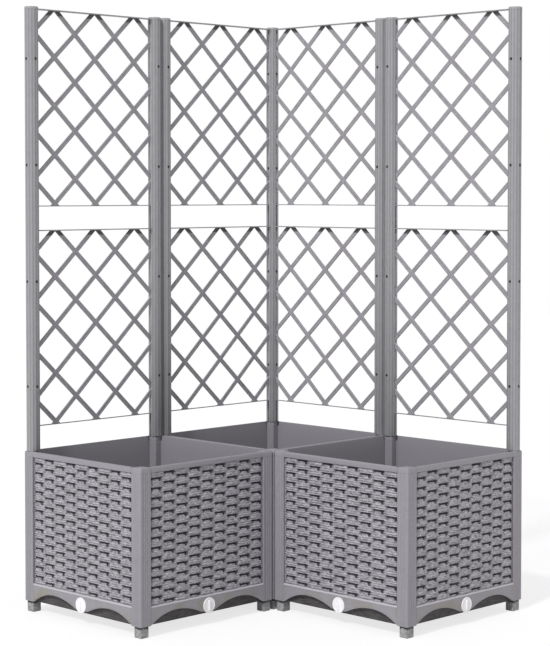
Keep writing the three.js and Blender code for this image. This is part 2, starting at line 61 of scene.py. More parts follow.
def ramped(tree, value, start, stop, low=0.0, high=1.0):
    """Output that runs from `low` to `high` while the value runs from `start` to `stop`."""
    node = tree.nodes.new("ShaderNodeMapRange")
    numbers = {"From Min": start, "From Max": stop, "To Min": low, "To Max": high}
    for name, number in numbers.items():
        node.inputs[name].default_value = number
    tree.links.new(value, node.inputs["Value"])
    return node.outputs["Result"]


def noise(tree, place, scale, detail, roughness=0.5):
    """Output of a fractal noise with `scale` cells to a metre."""
    node = tree.nodes.new("ShaderNodeTexNoise")
    node.inputs["Scale"].default_value = scale
    node.inputs["Detail"].default_value = detail
    node.inputs["Roughness"].default_value = roughness
    tree.links.new(place, node.inputs["Vector"])
    return node.outputs["Fac"]


def moulded_plastic(name, colour, roughness, mottle=0.05, grain=0.12, grain_size=0.0011,
                    squeeze=(1, 1, 1)):
    """Pigmented moulded plastic. The colour swings by the share `mottle` with a cloudy noise
    2 cm across, made finer along each axis by `squeeze`. Roughness follows the same clouds, and
    a fine noise of `grain_size` metres, raised by the strength `grain`, is the grain of the
    mould. All of it lies in object coordinates."""
    material = bpy.data.materials.new(name)
    material.use_nodes = True
    tree = material.node_tree
    shader = tree.nodes["Principled BSDF"]
    place = tree.nodes.new("ShaderNodeTexCoord").outputs["Object"]
    stretch = tree.nodes.new("ShaderNodeMapping")
    stretch.inputs["Scale"].default_value = squeeze
    tree.links.new(place, stretch.inputs["Vector"])
    clouds = noise(tree, stretch.outputs["Vector"], 55.0, 5.0, 0.62)
    thin, thick = 0.3, 0.7
    tint = tree.nodes.new("ShaderNodeValToRGB")
    for element, position, share in zip(tint.color_ramp.elements, (thin, thick),
                                        (1 - mottle, 1 + mottle)):
        element.position = position
        element.color = (*[min(1.0, channel * share) for channel in colour], 1)
    tree.links.new(clouds, tint.inputs["Fac"])
    tree.links.new(tint.outputs["Color"], shader.inputs["Base Color"])
    sheen = ramped(tree, clouds, thin, thick, roughness - 0.06, roughness + 0.06)
    tree.links.new(sheen, shader.inputs["Roughness"])
    bump = tree.nodes.new("ShaderNodeBump")
    bump.inputs["Strength"].default_value = grain
    bump.inputs["Distance"].default_value = 0.0006
    tree.links.new(noise(tree, place, 1 / grain_size, 3.0), bump.inputs["Height"])
    tree.links.new(bump.outputs["Normal"], shader.inputs["Normal"])
    return material


def dress(node_name, material):
    """Gives a solid that already has its real shape the finish of the real piece."""
    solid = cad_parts[node_name]
    solid.data.materials.clear()
    solid.data.materials.append(material)


def tinted(tree, amount, colour):
    """Mixes a colour into the base colour of a plastic, by the value of the socket `amount`."""
    base = tree.nodes["Principled BSDF"].inputs["Base Color"]
    mix = tree.nodes.new("ShaderNodeMix")
    mix.data_type = "RGBA"
    mix.inputs["B"].default_value = (*colour, 1)
    tree.links.new(amount, mix.inputs["Factor"])
    tree.links.new(base.links[0].from_socket, mix.inputs["A"])
    tree.links.new(mix.outputs["Result"], base)


def place_and_height(tree):
    """Outputs of the object coordinates of a plastic, and of the height alone."""
    place = next(node for node in tree.nodes if node.type == "TEX_COORD").outputs["Object"]
    split = tree.nodes.new("ShaderNodeSeparateXYZ")
    tree.links.new(place, split.inputs["Vector"])
    return place, split.outputs["Z"]


def foot_plastic_with_painted_shadow():
    """The rough plastic of the feet, with a painted shadow of the overhanging leg across the top
    few millimetres: the height runs into a ramp, broken up by a noise 6 mm across."""
    material = moulded_plastic("foot_plastic", (0.33, 0.325, 0.335), 0.72, 0.45, 0.7, 0.0022,
                               squeeze=(3, 3, 3))
    tree = material.node_tree
    place, height = place_and_height(tree)
    raised = computed(tree, "MULTIPLY_ADD", noise(tree, place, 160.0, 4.0), 0.014, height)
    # Painted shadow of the overhanging leg on the top few millimetres of the foot.
    painted_shadow = ramped(tree, raised, 0.0265, 0.0285, high=0.9)
    tinted(tree, painted_shadow, (0.018, 0.02, 0.015))
    return material


foot_plastic = foot_plastic_with_painted_shadow()

BOX_LINE = 208
BOX_CENTRES = {"left_box": (-BOX_LINE, -BOX_LINE), "corner_box": (-BOX_LINE, BOX_LINE),
               "right_box": (BOX_LINE, BOX_LINE)}
CORNERS = ["front_left", "front_right", "back_right", "back_left"]
for box_name in BOX_CENTRES:
    for corner in CORNERS:
        dress(f"{box_name}_foot_{corner}", foot_plastic)


# ---------------------------------------------------------------------------------------------
# Trays. One dark moulded tray lies in each box, with its rim on the ledges of the side panels.
# It shows behind the arches, and its floor is the bottom of the box.
# ---------------------------------------------------------------------------------------------

tray_plastic = moulded_plastic("tray_plastic", (0.062, 0.057, 0.06), 0.58, 0.6, 0.35, 0.0016,
                               squeeze=(1, 1, 6))
for box_name in BOX_CENTRES:
    dress(f"{box_name}_tray", tray_plastic)


# ---------------------------------------------------------------------------------------------
# Corner legs. Twelve square uprights of light grey plastic with shallow flutes on both outer
# faces and a closed, bevelled top. A lip along each inner edge hides the end of a side panel.
# ---------------------------------------------------------------------------------------------

GREY = (0.318, 0.306, 0.336)
grey_plastic = moulded_plastic("grey_plastic", GREY, 0.46, 0.045, 0.1)

HALF_BOX = 207.0
LEG_WIDTH, LEG_ROUND = 31.0, 3.5
FLUTES, FLUTE_HALF, FLUTE_DEPTH = (10, 16, 22), 1.8, 1.1
BODY_BOTTOM, BOX_TOP = 26.0, 380.0
QUARTER_TURNS = ((1, 0), (0, 1), (-1, 0), (0, -1))  # cosine and sine


def outward(points, loops):
    """Turns every face round if the signed volume, the sum of the tetrahedra that the faces
    make with the origin, is negative."""
    volume = 0.0
    for loop in loops:
        corner = points[loop]
        fans = np.cross(corner[:, 1:-1], corner[:, 2:])
        volume += np.einsum("fj,fkj->", corner[:, 0], fans)
    return [loop[:, ::-1] for loop in loops] if volume < 0 else loops


def lofted(rings):
    """A closed skin through a stack of rings, an array (rings, points, 3), with a flat face on
    each end."""
    count, size = rings.shape[:2]
    number = np.arange(count * size).reshape(count, size)
    right = np.roll(number, -1, axis=1)
    sides = np.stack([number[:-1], right[:-1], right[1:], number[1:]], axis=-1).reshape(-1, 4)
    return rings.reshape(-1, 3), [sides, number[:1, ::-1], number[-1:]]


def spun(profile, sides):
    """A closed skin from a profile of radius and height turned about an axis. The height is
    measured outward, towards -y."""
    angle = np.linspace(0, 2 * math.pi, sides + 1)[:-1]
    radius, height = profile[:, :1], np.repeat(profile[:, 1:], sides, 1)
    return lofted(np.stack([radius * np.cos(angle), -height, radius * np.sin(angle)], -1))


def joined(*skins):
    """Several closed skins as one set of points and faces, each with its faces outward."""
    points, loops, start = [], [], 0
    for skin_points, skin_loops in skins:
        skin_loops = outward(skin_points, skin_loops)
        points.append(skin_points)
        loops.extend(loop + start for loop in skin_loops)
        start += len(skin_points)
    return np.concatenate(points), loops


def turned(points, quarters, centre):
    """Quarter turns about the upright axis, then a move to the centre of a box."""
    cosine, sine = QUARTER_TURNS[quarters]
    x, y, z = points.T
    return np.stack([cosine * x - sine * y + centre[0], sine * x + cosine * y + centre[1], z], 1)


def raw_mesh(name, skin):
    """A bare mesh in metres from a skin in millimetres, with its faces outward."""
    points, loops = skin
    mesh = bpy.data.meshes.new(name)
    faces = [face for loop in outward(points, loops) for face in loop.tolist()]
    mesh.from_pydata((points / 1000).tolist(), [], faces)
    return mesh


def piece(name, skin, material, body, stands_for=(), sharp=32):
    """Makes the object, smooth but for edges sharper than `sharp` degrees, and hands it to its
    body in place of the solids it stands for."""
    mesh = raw_mesh(name, skin)
    mesh.shade_smooth()
    mesh.set_sharp_from_angle(angle=math.radians(sharp))
    mesh.materials.append(material)
    made = bpy.data.objects.new(name, mesh)
    bpy.context.scene.collection.objects.link(made)
    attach(made, body)
    if stands_for:
        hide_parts(*stands_for)
    return made


def leg_plan(fluted):
    """Outline of a leg with its outer corner at 0,0: the face y = groove(x), where the groove
    is a row of half cosine waves, its mirror x = groove(y), a quarter circle between them, and
    the stepped inside."""
    width, edge, lip, inner, bevel = LEG_WIDTH, 0.6, 4, 27, 23
    along = np.linspace(LEG_ROUND, width - edge, 85)
    groove = np.zeros_like(along)
    if fluted:
        for middle in FLUTES:
            offset = np.clip((along - middle) / FLUTE_HALF, -1, 1)
            groove += FLUTE_DEPTH * np.cos(offset * math.pi / 2) ** 2
    front = np.stack([along, groove], 1)
    inside = [[width, edge], [width, lip], [inner, lip], [inner, bevel],
              [bevel, inner], [lip, inner], [lip, width], [edge, width]]
    side = np.stack([groove, along], 1)[::-1]
    turn = np.linspace(math.pi, 1.5 * math.pi, 9)[1:-1]
    corner = LEG_ROUND + LEG_ROUND * np.stack([np.cos(turn), np.sin(turn)], 1)
    return np.concatenate([front, inside, side, corner])


def leg_skin():
    """Fluted plan up to a fine groove under the cap, then a plain plan drawn in at the top:
    every level scales the plan about the middle of the leg."""
    levels = [
        (BODY_BOTTOM, 0.985, True), (BODY_BOTTOM + 0.6, 1.0, True), (366.0, 1.0, True),
        (366.4, 0.975, False), (367.6, 0.975, False), (368.0, 1.0, False),
        (BOX_TOP - 3.4, 1.0, False), (BOX_TOP - 2.6, 0.985, False),
        (BOX_TOP - 0.3, 0.86, False), (BOX_TOP, 0.83, False),
    ]
    rings = []
    for height, scale, fluted in levels:
        plan = (leg_plan(fluted) - LEG_WIDTH / 2) * scale + LEG_WIDTH / 2 - HALF_BOX
        rings.append(np.column_stack([plan, np.full(len(plan), height)]))
    return lofted(np.array(rings))


leg_points, leg_loops = leg_skin()
for box_name, centre in BOX_CENTRES.items():
    for quarters, corner in enumerate(CORNERS):
        name = f"{box_name}_leg_{corner}"
        placed = turned(leg_points, quarters, centre)
        piece(name + "_fluted", (placed, leg_loops), grey_plastic, "planter",
              [name])


# ---------------------------------------------------------------------------------------------
# Side panels. Four to a box, twelve in all, each one moulding: a smooth rim, a field moulded
# like wicker, with strands that pass in front of and behind nine upright stakes, a fine bead,
# and an apron with two arches. The ends slide in behind the lips of the legs.
# ---------------------------------------------------------------------------------------------

SIDES = ["front", "right", "back", "left"]
FIELD_BOTTOM, FIELD_TOP = 68.0, 366.6
STRANDS, REEDS_IN_A_STRAND = 27, 2
STRAND_PITCH = (FIELD_TOP - FIELD_BOTTOM) / STRANDS
STAKES, STAKE_PITCH = 9, 39.3
WEAVE_FLOOR = 6.7
PANEL_HALF, PANEL_BACK = 175.7, 7.3
END_GAP, END_RISE, END_DEPTH = 2.6, 0.8, 5.6
DRAIN_HEIGHT, DRAIN_RADIUS = 45, 8.0
# Point attributes of the panels: depth in the weave, painted as shade; on the weave or not; and a
# painted highlight on the bead.
SHARES = ("sunk", "woven", "painted_highlight")


def arch_line(along):
    """Height of the apron's lower edge at a distance from the middle of the side: two curves
    close to parabolas that meet at a level crest, one down to the leg and one to the level foot
    of the boss in the middle, which carries the drain."""
    distance = np.abs(along)
    crest, top, leg = 99.0, 51.3, 176
    boss, boss_bottom = 21, 32.5
    outward_share = np.clip((distance - crest) / (leg - crest), 0, 1)
    inward_share = np.clip((crest - distance) / (crest - boss), 0, 1)
    to_leg = top - (top - BODY_BOTTOM) * outward_share ** 2.1
    to_boss = top - (top - boss_bottom) * inward_share ** 2.0
    return np.where(distance > crest, to_leg, np.where(distance < boss, boss_bottom, to_boss))


def weave_depth(along, height):
    """Depth of the woven field behind the face of the box: the shallowest of two surfaces.
    A strand is a rounded band, a little higher than its pitch, whose middle line follows powers
    of a cosine of the distance along the side: it swells over one stake and dives steeply
    behind the next. A stake is a rounded upright, its middle a little to one side, that comes
    out from under the strand above it and widens towards the one below. Whatever lies just
    below a strand in front is drawn in by a wedge, and at both ends the field dives in behind
    the lips of the legs."""
    strand_half, strand_drop, strand_edge, strand_crown = 6.3, 0.7, 0.506, 1.35
    strand_depth, swell_out, dive_in, strand_wedge = 3.0, 1.35, 3.3, 1.5
    stake_half, stake_shift, stake_spread, stake_crown = 4.0, 2.2, 0.76, 0.9
    stake_depth, stake_wedge = 2.2, 3.8
    wedge_height, wedge_slope, wedge_half = 6.2, 1.8, 21.5
    step = (height - FIELD_BOTTOM) / STRAND_PITCH - 0.5
    phase = np.cos(math.pi * (along + 4 * STAKE_PITCH) / STAKE_PITCH)
    column = np.round(along / STAKE_PITCH)
    from_stake = along - column * STAKE_PITCH
    below = (2 - strand_edge - np.mod(step - column, 2)) * STRAND_PITCH
    wedge = np.clip(wedge_slope * (1 - below / wedge_height), 0, 1) * (below > -0.01)
    under = wedge * np.clip((wedge_half - np.abs(from_stake)) / 5, 0, 1)
    depth = np.full(np.broadcast(along, height).shape, WEAVE_FLOOR)
    for strand in range(STRANDS):
        across = np.abs((step - strand) * STRAND_PITCH - strand_drop) / strand_half
        wave = phase * (1 if strand % 2 == 0 else -1)
        swell = np.abs(wave) ** np.where(wave > 0, 0.75, 1.5)
        face = np.where(wave > 0, strand_depth - swell_out * swell,
                        strand_depth + dive_in * swell + strand_wedge * under)
        crown = strand_crown * (1 - np.sqrt(np.clip(1 - across ** 2, 0, 1)))
        depth = np.where(across < 1, np.minimum(depth, face + crown), depth)
    half_width = stake_half + stake_spread * np.clip(below, 0, 9)
    beside = np.abs(from_stake + stake_shift) / half_width
    crown = stake_crown * (1 - np.sqrt(np.clip(1 - beside ** 2, 0, 1)))
    stake = stake_depth + crown + stake_wedge * wedge
    on_stake = (beside < 1) & (np.abs(column) < STAKES / 2)
    dive = 1.5 * np.clip((np.abs(along) - 168) / 6, 0, 1)
    return np.minimum(np.where(on_stake, np.minimum(depth, stake), depth) + dive, WEAVE_FLOOR)


def panel_stations(fine):
    """Distances along the side: close together where a stake's edges lie, and at both ends of
    the gap between the weave and the leg."""
    offsets = [-19.65, -12, -6, 0, 6, 12]
    if fine:
        offsets = [-19.65, -15, -11.8, -10.3, -9.2, -8.2, -7.2, -6.2, -4.7, -2.2, 0, 1.8, 2.8,
                   3.8, 4.8, 5.8, 6.8, 7.8, 9, 11.5, 15]
    middles = (np.arange(STAKES) - STAKES // 2)[:, None] * STAKE_PITCH
    stations = (middles + np.array(offsets)).ravel()
    ends = PANEL_HALF - np.array([0, END_GAP, END_GAP + END_RISE])
    stations = stations[np.abs(stations) < ends[-1] - 0.8]
    return np.concatenate([-ends, stations, ends[::-1]])


def panel_skin(fine):
    """A closed profile of depth and height, carried along the side. Its front runs down from
    the rim through the woven field and over the bead to the arch, and its back runs up again.
    Also gives three shares for each point, from 0 to 1: how deep it lies in the weave, which the
    plastic paints as shade, whether it is on the weave at all, and how much it is painted pale, a
    painted highlight on the crest of the bead."""
    along = panel_stations(fine)
    edges = [-0.515, -0.5, -0.38, 0]
    if fine:
        edges = [-0.515, -0.5, -0.45, -0.36, -0.2, 0, 0.12, 0.27, 0.42]
    steps = (np.add.outer(np.arange(STRANDS), np.array(edges)) + 0.5).ravel()
    field = FIELD_BOTTOM + steps * STRAND_PITCH
    field = field[field > FIELD_BOTTOM + 2.4][::-1]
    woven = weave_depth(along[None], field[:, None])
    fade = np.clip((PANEL_HALF - END_GAP - np.abs(along)) / END_RISE, 0, 1)
    woven = woven * fade + END_DEPTH * (1 - fade)
    arch = arch_line(along)
    bead_bottom, back_bottom = 64.0, 63.0
    sunk_from, sunk_over = 3.5, 1.3
    rows = [(379.7, 6.5), (379.7, 2.6), (379.2, 1.2), (378.2, 0.5), (376.4, 0.3),
            (368.2, 0.3), (367.2, 0.7), (366.9, 1.6), (366.7, 4.6)]
    first = len(rows)
    rows += zip(field, woven)
    last = len(rows)
    bead_crest = slice(last + 1, last + 4)
    rows += [(70.2, 3.4), (68.6, 0.9), (67.9, 0.3), (66.9, 0.05), (65.2, 0.05), (64.6, 0.5)]
    rows += [(bead_bottom * (1 - share) + arch * share, 0.5) for share in (0.04, 0.35, 0.7, 0.95)]
    rows += [(arch, 1.2), (arch, PANEL_BACK)]
    rows += [(arch * (1 - share) + back_bottom * share, PANEL_BACK) for share in (0.5, 1.0)]
    rows += [(height, PANEL_BACK) for height in np.linspace(80, 372, 12)]
    heights, depths = (np.array([np.broadcast_to(values, along.shape) for values in part])
                       for part in zip(*rows))
    places = np.stack([np.broadcast_to(along, depths.shape), depths - HALF_BOX, heights], -1)
    shares = np.zeros(depths.shape + (len(SHARES),))
    # Painted shade: the deeper the weave lies, the darker the plastic is painted.
    shares[first:last, :, 0] = np.clip((woven - sunk_from) / sunk_over, 0, 1) * fade
    shares[first:last, :, 1] = 1
    # Painted highlight along the crest of the bead.
    shares[bead_crest, :, 2] = 1
    return lofted(places.transpose(1, 0, 2)), shares.transpose(1, 0, 2).reshape(-1, len(SHARES))


def mark(mesh, shares):
    """Stores the shares of every point as attributes of the mesh, named by their column."""
    for name, values in zip(SHARES, shares.T):
        layer = mesh.attributes.new(name, "FLOAT", "POINT")
        layer.data.foreach_set("value", np.ascontiguousarray(values))


def plain_bar(low, high):
    """A bar of four sharp edges between two opposite corners, each given as distance along the
    side, depth behind the face and height."""
    (x0, y0, z0), (x1, y1, z1) = low, high
    plan = np.array([[x0, y0], [x1, y0], [x1, y1], [x0, y1]]) - (0, HALF_BOX)
    return lofted(np.array([np.column_stack([plan, np.full(4, level)]) for level in (z0, z1)]))


def with_drain_hole(skin, shares):
    """The face skin with the round hole of the drain through its apron: a cylinder along the
    outward direction is taken away from it. The faces come back grouped by their corner
    count, and the shares of each point come back with them."""
    ends = np.array([(DRAIN_RADIUS, HALF_BOX + 3), (DRAIN_RADIUS, HALF_BOX - 11)])
    points, loops = spun(ends, 32)
    points = points + (0, 0, DRAIN_HEIGHT)
    blank = bpy.data.objects.new("blank", raw_mesh("blank", skin))
    mark(blank.data, shares)
    drill = bpy.data.objects.new("drill", raw_mesh("drill", (points, loops)))
    for part in (blank, drill):
        bpy.context.scene.collection.objects.link(part)
    cut = blank.modifiers.new("drain", "BOOLEAN")
    cut.operation = "DIFFERENCE"
    cut.solver = "EXACT"
    cut.object = drill
    graph = bpy.context.evaluated_depsgraph_get()
    bored = bpy.data.meshes.new_from_object(blank.evaluated_get(graph))
    points = np.array([corner.co for corner in bored.vertices]) * 1000
    grouped = {}
    for face in bored.polygons:
        grouped.setdefault(len(face.vertices), []).append(tuple(face.vertices))
    kept = np.zeros((len(SHARES), len(points)))
    for row, name in zip(kept, SHARES):
        bored.attributes[name].data.foreach_get("value", row)
    for part in (blank, drill):
        bpy.data.objects.remove(part)
    return (points, [np.array(faces) for faces in grouped.values()]), kept.T


def attribute_value(tree, name, factor=1.0):
    """Output of a node that reads a point attribute and multiplies it."""
    reader = tree.nodes.new("ShaderNodeAttribute")
    reader.attribute_name = name
    return computed(tree, "MULTIPLY", reader.outputs["Fac"], factor)


def wicker_plastic():
    """The plastic of the side panels. Where the attribute `woven` is 1 it is streaked level and
    has the reed lines of the moulded wicker, a sine wave in height, two to a strand. The smooth
    rest has the grey of the legs, and the apron is stained by clouds of brown film 6 cm across.
    The crest of the bead is painted pale as a painted highlight, and the attribute `sunk` paints
    the deep places between the strands dark as a painted shade."""
    material = moulded_plastic("wicker_plastic", (0.406, 0.39, 0.427), 0.38, 0.6, 0.45, 0.0024,
                               squeeze=(2, 2, 8))
    tree = material.node_tree
    place, height = place_and_height(tree)
    grain = next(node for node in tree.nodes if node.type == "BUMP")
    woven = attribute_value(tree, "woven")
    turns = computed(tree, "MULTIPLY", height,
                     2 * math.pi * REEDS_IN_A_STRAND / (STRAND_PITCH / 1000))
    reeds = tree.nodes.new("ShaderNodeBump")
    reeds.inputs["Distance"].default_value = 0.0009
    tree.links.new(woven, reeds.inputs["Strength"])
    tree.links.new(computed(tree, "SINE", turns), reeds.inputs["Height"])
    tree.links.new(grain.outputs["Normal"], reeds.inputs["Normal"])
    tree.links.new(reeds.outputs["Normal"], tree.nodes["Principled BSDF"].inputs["Normal"])
    tinted(tree, computed(tree, "SUBTRACT", 1.0, woven), GREY)
    film = ramped(tree, noise(tree, place, 16.0, 6.0), 0.46, 0.62, high=0.75)
    on_apron = ramped(tree, height, 0.066, 0.060)
    tinted(tree, computed(tree, "MULTIPLY", film, on_apron), (0.285, 0.262, 0.215))
    # Painted highlight: the crest of the bead is painted pale.
    tinted(tree, attribute_value(tree, "painted_highlight", 0.8), (0.6, 0.58, 0.62))
    # Painted shade deep between the strands.
    tinted(tree, attribute_value(tree, "sunk"), (0.04, 0.039, 0.044))
    return material


wicker = wicker_plastic()
DRAINED = {"left_box": (0, 1), "corner_box": (3, 2), "right_box": (0, 1)}
NEXT_TO_A_BOX = {"left_box": (2,), "corner_box": (0, 1), "right_box": (3,)}
panel_skins = {"plain": panel_skin(False), "woven": panel_skin(True)}
panel_skins["drained"] = with_drain_hole(*panel_skins["woven"])
# The tongue at each end, behind the lip of the leg, and the ledge that carries the tray.
hidden_bars = [plain_bar((-179.7, 4.8, 26), (-175.5, 7.3, 368.7)),
               plain_bar((175.5, 4.8, 26), (179.7, 7.3, 368.7)),
               plain_bar((-172.7, 7.2, 62), (172.7, 10.3, 66))]
for box_name, centre in BOX_CENTRES.items():
    for quarters, side in enumerate(SIDES):
        kind = "drained" if quarters in DRAINED[box_name] else "woven"
        kind = "plain" if quarters in NEXT_TO_A_BOX[box_name] else kind
        face_skin, shares = panel_skins[kind]
        points, loops = joined(face_skin, *hidden_bars)
        name = f"{box_name}_panel_{side}"
        made = piece(name + "_woven", (turned(points, quarters, centre), loops), wicker,
                     "planter", [name], sharp=55)
        hidden = np.zeros((len(points) - len(shares), len(SHARES)))
        mark(made.data, np.concatenate([shares, hidden]))


# ---------------------------------------------------------------------------------------------
# Drain plugs. White caps at the foot of the outer sides, each a round flange with a raised rim,
# a bar to grip and a shank that fills the drain hole. They are pushed in and pulled out by hand.
# ---------------------------------------------------------------------------------------------

plug_plastic = moulded_plastic("plug_plastic", (0.965, 0.95, 0.98), 0.34, 0.01, 0.05)


def plug_skin():
    """A profile of radius and height turned about the plug's axis, and a grip whose plan is a
    stadium and whose top is drawn in."""
    profile = np.array([
        (0.01, -15), (6.6, -15), (7.4, -14), (7.4, 0), (17.6, 0), (18, 0.4), (18, 1.3),
        (17.6, 2.0), (16.6, 2.3), (15.6, 2.2), (14.8, 1.7), (14, 1.6), (9, 1.9), (0.01, 2.1),
    ])
    grip_radius, grip_half = 2.2, 10
    half_turn = np.linspace(-math.pi / 2, math.pi / 2, 9)
    end = np.stack([grip_radius * np.sin(half_turn), grip_radius * np.cos(half_turn)], 1)
    plan = np.concatenate([end + (0, grip_half), -end - (0, grip_half)])
    levels = [(1.2, 1.0), (3.4, 1.0), (4.0, 0.86), (4.1, 0.6)]
    grip = [np.column_stack([plan[:, 0] * scale, np.full(len(plan), -level),
                             plan[:, 1] * (1 - (1 - scale) * 0.18)]) for level, scale in levels]
    return joined(spun(profile, 48), lofted(np.array(grip)))


plug_points, plug_loops = plug_skin()
plug_points = plug_points + (0, 0.7 - HALF_BOX, DRAIN_HEIGHT)
for box_name, centre in BOX_CENTRES.items():
    for quarters in DRAINED[box_name]:
        side = SIDES[quarters]
        name = f"{box_name}_drain_plug_{side}"
        piece(name + "_cap", (turned(plug_points, quarters, centre), plug_loops), plug_plastic,
              f"{box_name}_plug_{side}", [name])


# ---------------------------------------------------------------------------------------------
# Trellis posts. Seven round, fluted posts of the same grey plastic, plugged into legs along the
# two outer walls, with a low bevelled cap. A long slot faces each bay and holds its lattice.
# ---------------------------------------------------------------------------------------------

post_plastic = moulded_plastic("post_plastic", (0.385, 0.383, 0.403), 0.40, 0.05, 0.05)
# Painted shade in the grooves of the flutes, darker where a groove is deeper.
tinted(post_plastic.node_tree, attribute_value(post_plastic.node_tree, "sunk", 0.28),
       (0.05, 0.05, 0.055))

POST_TOP, FLUTED_TOP = 1420.0, 1413.6
POST_RADIUS, GROOVE_DEPTH, SPIGOT_RADIUS = 15.9, 0.8, 9.7
SLOT_HALF, SLOT_FLOOR, SLOT_RIM = 2.3, 10.7, 15.3
WALL_LINE, INSIDE_LINE = 399.5, 16.5
POSTS = {
    "post_left_end": (-WALL_LINE, -WALL_LINE, (1,)),
    "post_left_middle": (-WALL_LINE, -INSIDE_LINE, (3,)),
    "post_corner_left": (-WALL_LINE, INSIDE_LINE, (1,)),
    "post_corner_back": (-WALL_LINE, WALL_LINE, (0, 3)),
    "post_corner_right": (-INSIDE_LINE, WALL_LINE, (2,)),
    "post_right_middle": (INSIDE_LINE, WALL_LINE, (0,)),
    "post_right_end": (WALL_LINE, WALL_LINE, (2,)),
}


def post_plan(slots):
    """Two outlines with the same number of points: the fluted one, whose radius dips 12 times
    on the way round by the fourth power of a cosine of six times the angle, so that narrow
    grooves lie between flat ribs, and which steps in at each slot, and the plain circle. Also
    gives the share of the groove's depth at each point."""
    fluted, plain, grooved = [], [], []
    for quarter in range(4):
        degrees = np.arange(-45, 45, 2.5)
        slotted = quarter in slots
        mouth = math.degrees(math.asin(SLOT_HALF / POST_RADIUS))
        if slotted:
            degrees = np.concatenate([degrees[degrees < -mouth - 0.5], [-mouth, -mouth + 0.01,
                                      mouth - 0.01, mouth], degrees[degrees > mouth + 0.5]])
        angle = np.radians(degrees)
        groove = np.cos(6 * angle) ** 4
        radius = POST_RADIUS - GROOVE_DEPTH * groove
        outline = np.stack([radius * np.cos(angle), radius * np.sin(angle)], 1)
        if slotted:
            inner = np.abs(degrees) < mouth - 0.005
            outline[inner] = [[SLOT_FLOOR, -SLOT_HALF], [SLOT_FLOOR, SLOT_HALF]]
            rim = np.isclose(np.abs(degrees), mouth)
            outline[rim] = [[SLOT_RIM, -SLOT_HALF], [SLOT_RIM, SLOT_HALF]]
        cosine, sine = QUARTER_TURNS[quarter]
        turn = np.array([[cosine, -sine], [sine, cosine]])
        fluted.append(outline @ turn.T)
        circle = np.stack([np.cos(angle), np.sin(angle)], 1)
        plain.append(circle @ turn.T)
        grooved.append(groove)
    return np.concatenate(fluted), np.concatenate(plain), np.concatenate(grooved)


def post_skin(slots):
    """Spigot, fluted shaft and cap, as rings from the bottom up, and the share of the groove's
    depth at each point, which the plastic paints as shade."""
    fluted, circle, grooved = post_plan(slots)
    levels = [
        (325.0, 9.0 * circle), (326.0, SPIGOT_RADIUS * circle),
        (BOX_TOP + 0.3, SPIGOT_RADIUS * circle), (BOX_TOP + 0.3, 0.985 * fluted),
        (BOX_TOP + 0.8, fluted), (FLUTED_TOP, fluted), (FLUTED_TOP, 15.7 * circle),
        (1413.7, 15.9 * circle), (1414.0, 16.0 * circle), (1417.8, 16.0 * circle),
        (1419.1, 15.6 * circle), (POST_TOP, 14.6 * circle),
    ]
    rings = [np.column_stack([plan, np.full(len(plan), height)]) for height, plan in levels]
    fluted_rings = slice(3, 6)
    shares = np.zeros((len(levels), len(circle), 1))
    shares[fluted_rings, :, 0] = grooved
    return lofted(np.array(rings)), shares.reshape(-1, 1)


for name, (x, y, slots) in POSTS.items():
    (points, loops), shares = post_skin(slots)
    made = piece(name + "_fluted", (points + (x, y, 0), loops), post_plastic, "planter",
                 [name])
    mark(made.data, shares)


# ---------------------------------------------------------------------------------------------
# Lattice panels. An upper and a lower one in each of the four bays, each moulded in one: two
# sets of slanting strips with a shallow channel down the middle, between a level flange at the
# top and a thin bar at the bottom. A bar at each end stands in the slot of a post.
# ---------------------------------------------------------------------------------------------

HALF_DIAMOND = np.array([62.0, 57.5])
LATTICE_BOTTOMS = {"lower": 437.5, "upper": 955.0}
LATTICE_HEIGHT = 8 * HALF_DIAMOND[1]
FIRST_CROSSING = 5.5
STRIP_END, LATTICE_END = 178.7, 180.5


def lattice_plastic():
    """The plastic of the lattices, a little darker than that of the posts, with a painted shadow
    of the top flange across the last 12 mm of the strips below it: the height above a line 10 mm
    under the bottom bar, found by a modulo because the upper lattice repeats the lower one, runs
    into a ramp that stops at the flange."""
    material = moulded_plastic("lattice_plastic", (0.352, 0.34, 0.366), 0.46, 0.12, 0.1)
    tree = material.node_tree
    height = place_and_height(tree)[1]
    line = LATTICE_BOTTOMS["lower"] / 1000 - 0.01
    repeat = (LATTICE_BOTTOMS["upper"] - LATTICE_BOTTOMS["lower"]) / 1000
    above = computed(tree, "MODULO", computed(tree, "SUBTRACT", height, line), repeat)
    # Painted shadow of the top flange on the strips below it.
    painted_shadow = ramped(tree, above, 0.456, 0.459, high=0.82)
    under_flange = computed(tree, "LESS_THAN", above, 0.4686)
    tinted(tree, computed(tree, "MULTIPLY", painted_shadow, under_flange), (0.02, 0.02, 0.022))
    return material


trellis_plastic = lattice_plastic()


def strip_section(thickness):
    """Half width 5.5, rounded edges and a channel on both faces, as across and out-of-plane
    distances of the points round the strip."""
    face = [(-5.5, 0.55), (-5.2, 0.85), (-4.7, 1.0), (-1.7, 1.0), (-0.9, 0.8), (0.9, 0.8),
            (1.7, 1.0), (4.7, 1.0), (5.2, 0.85), (5.5, 0.55)]
    face = np.array(face) * (1, thickness / 2)
    return np.concatenate([face, -face])


